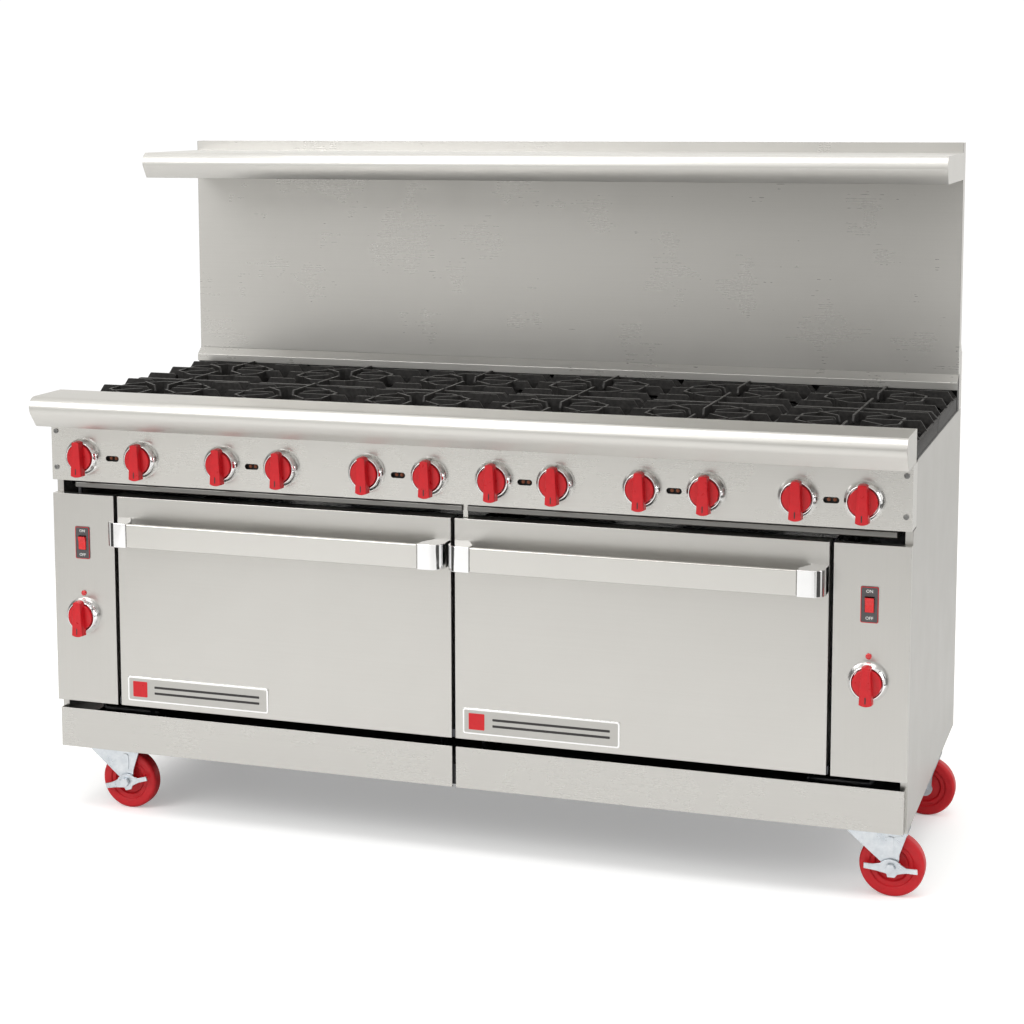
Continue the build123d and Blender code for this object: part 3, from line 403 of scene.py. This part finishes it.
def lathe(name, outline, place, material, body, steps=48, bevel=0.0):
    """Round piece from (radius, height) points in millimetres; place puts its axis Z."""
    work = bmesh.new()
    rings = []
    for radius, height in outline:
        if radius < 1e-6:
            rings.append([work.verts.new((0, 0, height * MM))])
            continue
        rings.append([work.verts.new((radius * MM * cos(2 * pi * i / steps),
                                      radius * MM * sin(2 * pi * i / steps), height * MM))
                      for i in range(steps)])
    for low, high in zip(rings, rings[1:]):
        for i in range(steps):
            j = (i + 1) % steps
            ring = [low[i % len(low)], low[j % len(low)], high[j % len(high)], high[i % len(high)]]
            corners = list(dict.fromkeys(ring))
            if len(corners) > 2:
                work.faces.new(corners)
    for ring in (rings[0], rings[-1]):
        if len(ring) > 1:
            work.faces.new(ring)
    work.transform(place)
    return place_piece(name, to_mesh(name, work), material, body, bevel)


def prism(name, points, height, place, material, body, bevel=0.3, segments=2):
    """Straight-sided piece from an outline in millimetres, raised along its own Z."""
    work = bmesh.new()
    floor = [work.verts.new((x * MM, y * MM, 0)) for x, y in points]
    roof = [work.verts.new((x * MM, y * MM, height * MM)) for x, y in points]
    work.faces.new(floor)
    work.faces.new(roof)
    for i in range(len(points)):
        j = (i + 1) % len(points)
        work.faces.new((floor[i], floor[j], roof[j], roof[i]))
    work.transform(place)
    return place_piece(name, to_mesh(name, work), material, body, bevel, segments)


def rounded_outline(width, height, radius, steps=5):
    """Corners of a rounded rectangle about the origin."""
    points = []
    for index, (sx, sy) in enumerate(((1, 1), (-1, 1), (-1, -1), (1, -1))):
        for step in range(steps + 1):
            angle = pi / 2 * (index + step / steps)
            points.append((sx * (width / 2 - radius) + radius * cos(angle),
                           sy * (height / 2 - radius) + radius * sin(angle)))
    return points


def facing_front(x, y, z, turn=0.0):
    """Place for a piece on an upright surface: its Z points to the front, its Y points up."""
    return (Matrix.Translation((x, y, z)) @ Matrix.Rotation(turn, 4, "Y")
            @ Matrix.Rotation(pi / 2, 4, "X"))


def loop(name, points, radius, material, body):
    """Round rod in a closed loop through points in metres, as a mesh."""
    curve = bpy.data.curves.new(name, "CURVE")
    curve.dimensions = "3D"
    curve.bevel_depth = radius * MM
    curve.bevel_resolution = 4
    spline = curve.splines.new("POLY")
    spline.points.add(len(points) - 1)
    for point, place in zip(spline.points, points):
        point.co = (*place, 1)
    spline.use_cyclic_u = True
    rod = bpy.data.objects.new(name + "_path", curve)
    bpy.context.scene.collection.objects.link(rod)
    bpy.context.view_layer.update()
    mesh = bpy.data.meshes.new_from_object(rod.evaluated_get(
        bpy.context.evaluated_depsgraph_get()))
    mesh.name = name
    bpy.data.objects.remove(rod)
    return place_piece(name, mesh, material, body, smooth=60)


def lettering(name, words, size, place, material, body):
    """Thin raised printing of generic words."""
    curve = bpy.data.curves.new(name, "FONT")
    curve.body = words
    curve.size = size * MM
    curve.extrude = 0.08 * MM
    curve.align_x = "CENTER"
    curve.align_y = "CENTER"
    curve.resolution_u = 3
    text = bpy.data.objects.new(name + "_text", curve)
    bpy.context.scene.collection.objects.link(text)
    bpy.context.view_layer.update()
    mesh = bpy.data.meshes.new_from_object(text.evaluated_get(
        bpy.context.evaluated_depsgraph_get()))
    bpy.data.objects.remove(text)
    mesh.transform(place)
    return place_piece(name, mesh, material, body)


# ---- sheet metal, castings and other carried-over shapes ---------------------------------------
def dress_frame():
    """Softened copies of the CAD nodes, each with its own finish."""
    looks = (
        (("base_frame",), FRAME_PAINT, "frame_steel", 1.5),
        (("side_panel_left", "side_panel_right"), STEEL_SIDE, "stainless", 0.5),
        (("front_panel_left", "front_panel_right"), STEEL_COLUMN, "stainless", 0.6),
        (("rear_panel",), GALVANISED, "galvanised", 0.3),
        (("control_panel",), STEEL_PANEL, "stainless", 0.5),
        (("kick_plates",), STEEL_KICK, "stainless", 0.5),
        (("crumb_tray_left", "crumb_tray_right"), STEEL_TRAY_PAINTED_SHADE, "stainless", 0.4),
        (("riser",), STEEL_RISER, "stainless", 0.5),
        (("high_shelf",), STEEL_SHELF, "stainless", 0.8),
        (("front_rail",), STEEL_RAIL, "stainless", 0.8),
        (("door_skin_left", "door_skin_right"), STEEL_DOOR, "stainless", 0.4),
        (("door_liner_left", "door_liner_right"), ENAMEL, "enamel", 0.8),
        (("oven_liner_left", "oven_liner_right"), ENAMEL, "enamel", 0.4),
        (("oven_racks",), WIRE, "rack_wire", 0.0),
        (("fan_motors", "fan_left", "fan_right"), ALUMINIUM, "motor_metal", 0.5),
        (("burner_box",), BLACK, "black_sheet", 0.4),
        (("gas_burners",), IRON, "cast_iron", 0.6),
        (("gas_manifold",), PIPE, "pipe_steel", 0.4),
        (("gas_valves",), BRASS, "valve_brass", 0.6),
        (("top_grates",), IRON, "cast_iron", 1.2),
        (("knob_bezels",), CHROME, "chrome", 0.4),
        (("switch_plates",), PLATE_GREY, "black_plastic", 0.5),
        (("indicator_lights",), LENS, "lamp_red", 0.4),
        (("screws",), SCREW_STEEL, "chrome", 0.2),
        (("oven_switch_left", "oven_switch_right"), RED_ROCKER, "rocker_red", 0.9),
        (("brake_lever_left", "brake_lever_right"), ZINC, "zinc", 0.7),
    )
    for names, material, slot, bevel in looks:
        for node in names:
            refine(node, material, bevel)
    for row in ("front", "rear"):
        for side in SIDES:
            refine(f"caster_fork_{row}_{side}", ZINC, 0.7)
            refine(f"caster_wheel_{row}_{side}", RED_WHEEL, 0.8)


def dress_handles():
    """Handle bars in brushed steel between polished chrome brackets."""
    for side in SIDES:
        node = f"door_handle_{side}"
        centre_x = middle(node).x
        bar_limit = 0.3
        refine(node, STEEL_BAR, 2.4, 4, lambda c: abs(c.x - centre_x) < bar_limit, "bar")
        refine(node, CHROME, 3.0, 5, lambda c: abs(c.x - centre_x) > bar_limit,
               "brackets")


def knob_names():
    return sorted(n for n in nodes if n.startswith(("burner_knob", "oven_knob")))


def dress_knobs():
    """Red knobs, each with a plain pointer line at the wide end of its grip."""
    width, length, corner, lift = 2.2, 13, 1.0, 0.4
    sunk, above_rim = 0.05, 13.5
    for node in knob_names():
        refine(node, RED_KNOB, 1.3, 3)
        low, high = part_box(node)
        x = (low.x + high.x) / 2
        prism(f"{node}_pointer", rounded_outline(width, length, corner), lift,
              facing_front(x, low.y + sunk * MM, low.z + above_rim * MM), INK,
              nodes[node]["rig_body"], 0.1)


# ---- small fittings ----------------------------------------------------------------------
def make_badges():
    """Blank rimmed plates low on the doors, with a plain red square and two dark bars."""
    width, height, lift = 330.0, 54.0, 0.4
    rim, field = 3.0, 3.3
    middle_x, middle_z = {"left": 183, "right": 182}, 40
    for side in SIDES:
        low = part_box(f"door_skin_{side}")[0]
        body = f"door_{side}"
        x = low.x + middle_x[side] * MM
        z = low.z + middle_z * MM
        at = facing_front(x, FACE_Y + 0.2 * MM, z)
        prism(f"badge_rim_{side}", rounded_outline(width, height, 5), rim, at, CHROME, body,
              1.0, 3)
        prism(f"badge_field_{side}", rounded_outline(width - 7, height - 7, 3), field, at,
              STEEL_BADGE, body, 0.2)
        square = at @ Matrix.Translation(((-width / 2 + 30) * MM, 0, field * MM))
        prism(f"badge_square_{side}", rounded_outline(34, 34, 2), lift, square, RED_KNOB, body,
              0.15)
        for index, shift in enumerate((-6.5, 6.5)):
            bar = at @ Matrix.Translation((22 * MM, shift * MM, field * MM))
            prism(f"badge_bar_{side}_{index}", rounded_outline(246, 5, 1), lift, bar, INK, body,
                  0.1)


def make_switch_marks():
    """Red outline and ON / OFF printing on the switch plates."""
    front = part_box("switch_plates")[0].y
    letter_height, letter_shift = 8.5, 26.0
    frame_width, frame_height, frame_corner, frame_radius = 32.4, 68.4, 2.6, 0.75
    for side in SIDES:
        x, _, z = middle(f"oven_switch_{side}")
        for words, shift in (("ON", letter_shift), ("OFF", -letter_shift)):
            lettering(f"switch_{words.lower()}_{side}", words, letter_height,
                      facing_front(x, front - 0.05 * MM, z + shift * MM), WHITE_INK, "chassis")
        outline = [(x + px * MM, front + 0.3 * MM, z + pz * MM)
                   for px, pz in rounded_outline(frame_width, frame_height, frame_corner)]
        loop(f"switch_outline_{side}", outline, frame_radius, RED_KNOB, "chassis")


def make_pilot_screws():
    """Tarnished pilot valve screws behind the slots between each pair of knobs."""
    knobs = [middle(f"burner_knob_{i:02d}").x for i in range(1, 13)]
    z = (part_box("burner_knob_01")[0].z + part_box("burner_knob_01")[1].z) / 2 + 0.5 * MM
    screw = ((0, 0), (3.6, 0), (3.6, 3.5), (2.2, 3.5), (2.2, 5), (1.2, 5), (1.2, 4), (0, 4))
    screw_depth, bracket_depth = 10, 12
    for pair in range(6):
        x = (knobs[2 * pair] + knobs[2 * pair + 1]) / 2
        for index, shift in enumerate((-5.5, 6.0)):
            lathe(f"pilot_screw_{pair + 1}_{index + 1}", screw,
                  facing_front(x + shift * MM, FACE_Y + screw_depth * MM, z), COPPER, "chassis",
                  20, 0.2)
        prism(f"pilot_bracket_{pair + 1}", rounded_outline(40, 16, 2), 1.5,
              facing_front(x, FACE_Y + bracket_depth * MM, z), BLACK, "chassis", 0.2)


def make_gaskets():
    """Braided gasket round each oven mouth."""
    cavity_w, cavity_h, cavity_mid = 672.0, 356.0, 468.0
    depth, margin, corner, radius = 48.7, 26, 30, 3.0
    for side in SIDES:
        x = middle(f"door_liner_{side}").x
        y = FACE_Y + depth * MM
        path = [(x + px * MM, y, (cavity_mid + pz) * MM)
                for px, pz in rounded_outline(cavity_w + margin, cavity_h + margin, corner)]
        loop(f"oven_gasket_{side}", path, radius, BRAID, "chassis")


def make_caster_bolts():
    """Hex bolt heads at the corners of each caster's top plate."""
    stem_inset, bolt_shift, head, gap = 37, 37.0, 3.8, 0.35
    hexagon = [(6.5 * cos(pi / 3 * k), 6.5 * sin(pi / 3 * k)) for k in range(6)]
    for row in ("front", "rear"):
        for side in SIDES:
            fork = f"caster_fork_{row}_{side}"
            low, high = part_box(fork)
            stem_x = low.x + stem_inset * MM
            stem_y = (low.y + high.y) / 2
            top = high.z + gap * MM
            for index in range(4):
                sx, sy = (1, 1, -1, -1)[index], (1, -1, 1, -1)[index]
                at = Matrix.Translation((stem_x + sx * bolt_shift * MM,
                                         stem_y + sy * bolt_shift * MM, top - head * MM))
                prism(f"caster_bolt_{row}_{side}_{index + 1}", hexagon, head, at, ZINC, "chassis",
                      0.5)


dress_frame()
dress_handles()
dress_knobs()
make_badges()
make_switch_marks()
make_pilot_screws()
make_gaskets()
make_caster_bolts()


# ---- floor, light and camera -----------------------------------------------------------------
def make_floor():
    """Pale floor that ends some metres away, so the steel mirrors the studio beyond it."""
    mesh = bpy.data.meshes.new("floor")
    side, front, back = 2.2, 6.0, 9.0
    mesh.from_pydata([(-side, -front, 0), (side, -front, 0), (side, back, 0), (-side, back, 0)],
                     [], [(0, 1, 2, 3)])
    paint = Paint("floor_paint", (0.86, 0.86, 0.86), 0.75, Emission_Color=(1, 1, 1, 1))
    seen = paint.node("ShaderNodeLightPath").outputs["Is Camera Ray"]
    paint.drive("Emission Strength", paint.spread(seen, 0.0, 0.30, 0, 1))
    patches = paint.noise((0.6, 0.6, 0.6), 2.0)
    paint.drive("Base Color", paint.mix(patches, (0.85, 0.85, 0.85), (0.88, 0.88, 0.88)))
    mesh.materials.append(paint.material)
    floor = bpy.data.objects.new("floor", mesh)
    bpy.context.scene.collection.objects.link(floor)


def area_light(name, place, target, size, power):
    """Softbox that faces a target; places and size in metres, power in watts."""
    data = bpy.data.lights.new(name, "AREA")
    data.shape = "RECTANGLE"
    data.size, data.size_y = size
    data.energy = power
    lamp = bpy.data.objects.new(name, data)
    bpy.context.scene.collection.objects.link(lamp)
    lamp.location = place
    lamp.rotation_euler = (Vector(target) - Vector(place)).to_track_quat("-Z", "Y").to_euler()


def set_stops(ramp, stops):
    """Warm grey stops, each a position and a brightness, on a colour ramp."""
    elements = ramp.color_ramp.elements
    while len(elements) < len(stops):
        elements.new(0.5)
    for element, (where, value) in zip(elements, stops):
        element.position = where
        element.color = (value, value * 0.995, value * 0.98, 1)


def make_world():
    """White studio with a grey curtain in front, to the right, and a dark flag at each side."""
    world = bpy.data.worlds.new("studio")
    bpy.context.scene.world = world
    world.use_nodes = True
    tree = world.node_tree
    coords = tree.nodes.new("ShaderNodeTexCoord").outputs["Generated"]
    side, dip = radians(11), radians(12)
    curtain = (sin(side) * cos(dip), -cos(side) * cos(dip), -sin(dip))
    nearness = tree.nodes.new("ShaderNodeVectorMath")
    nearness.operation = "DOT_PRODUCT"
    tree.links.new(coords, nearness.inputs[0])
    nearness.inputs[1].default_value = curtain
    ramp = tree.nodes.new("ShaderNodeValToRGB")
    tree.links.new(nearness.outputs["Value"], ramp.inputs["Fac"])
    set_stops(ramp, ((0.0, 1.0), (0.6, 1.0), (0.883, 1.0), (0.911, 0.46), (1.0, 0.40)))
    across = tree.nodes.new("ShaderNodeSeparateXYZ")
    tree.links.new(coords, across.inputs[0])
    sideways = tree.nodes.new("ShaderNodeMath")
    sideways.operation = "ABSOLUTE"
    tree.links.new(across.outputs["X"], sideways.inputs[0])
    flags = tree.nodes.new("ShaderNodeValToRGB")
    tree.links.new(sideways.outputs[0], flags.inputs["Fac"])
    set_stops(flags, ((0.0, 1.0), (0.70, 1.0), (0.73, 0.08), (0.96, 0.08), (0.975, 1.0)))
    shaded = tree.nodes.new("ShaderNodeMix")
    shaded.data_type, shaded.blend_type = "RGBA", "MULTIPLY"
    shaded.inputs["Factor"].default_value = 1.0
    tree.links.new(ramp.outputs["Color"], shaded.inputs[6])
    tree.links.new(flags.outputs["Color"], shaded.inputs[7])
    seen = tree.nodes.new("ShaderNodeLightPath").outputs["Is Camera Ray"]
    backdrop = tree.nodes.new("ShaderNodeMix")
    backdrop.data_type = "RGBA"
    tree.links.new(seen, backdrop.inputs["Factor"])
    tree.links.new(shaded.outputs[2], backdrop.inputs[6])
    backdrop.inputs[7].default_value = (1.1, 1.1, 1.1, 1)
    tree.links.new(backdrop.outputs[2], tree.nodes["Background"].inputs["Color"])
    tree.nodes["Background"].inputs["Strength"].default_value = 0.95


def make_camera():
    """Long lens from the front right, level with the cooking top and shifted for the framing."""
    yaw, pitch, roll = radians(19.39), radians(6.87), radians(-0.25)
    place = Vector((BODY_X + 1.424, FACE_Y - 3.996, 1.543))
    forward = Vector((-sin(yaw) * cos(pitch), cos(yaw) * cos(pitch), -sin(pitch)))
    level = Vector((cos(yaw), sin(yaw), 0))
    above = level.cross(forward)
    right = cos(roll) * level + sin(roll) * above
    up = -sin(roll) * level + cos(roll) * above
    data = bpy.data.cameras.new("camera")
    data.sensor_width = 36.0
    data.lens = 75.16
    data.shift_x = 0.0508
    data.shift_y = -0.1504
    data.clip_end = 200
    camera = bpy.data.objects.new("camera", data)
    camera.matrix_world = Matrix((
        (right.x, up.x, -forward.x, place.x), (right.y, up.y, -forward.y, place.y),
        (right.z, up.z, -forward.z, place.z), (0, 0, 0, 1)))
    bpy.context.scene.collection.objects.link(camera)
    bpy.context.scene.camera = camera


make_floor()
make_world()
area_light("key_softbox", (-2.6, -3.6, 3.4), (0, 0, 0.7), (3.0, 2.2), 95)
area_light("top_softbox", (0.3, -0.9, 3.6), (0.2, 0, 0.9), (3.6, 1.8), 60)
area_light("side_softbox", (4.2, -0.6, 2.0), (0.9, 0, 0.7), (1.8, 2.2), 40)
make_camera()
bpy.context.scene.view_settings.view_transform = "Standard"
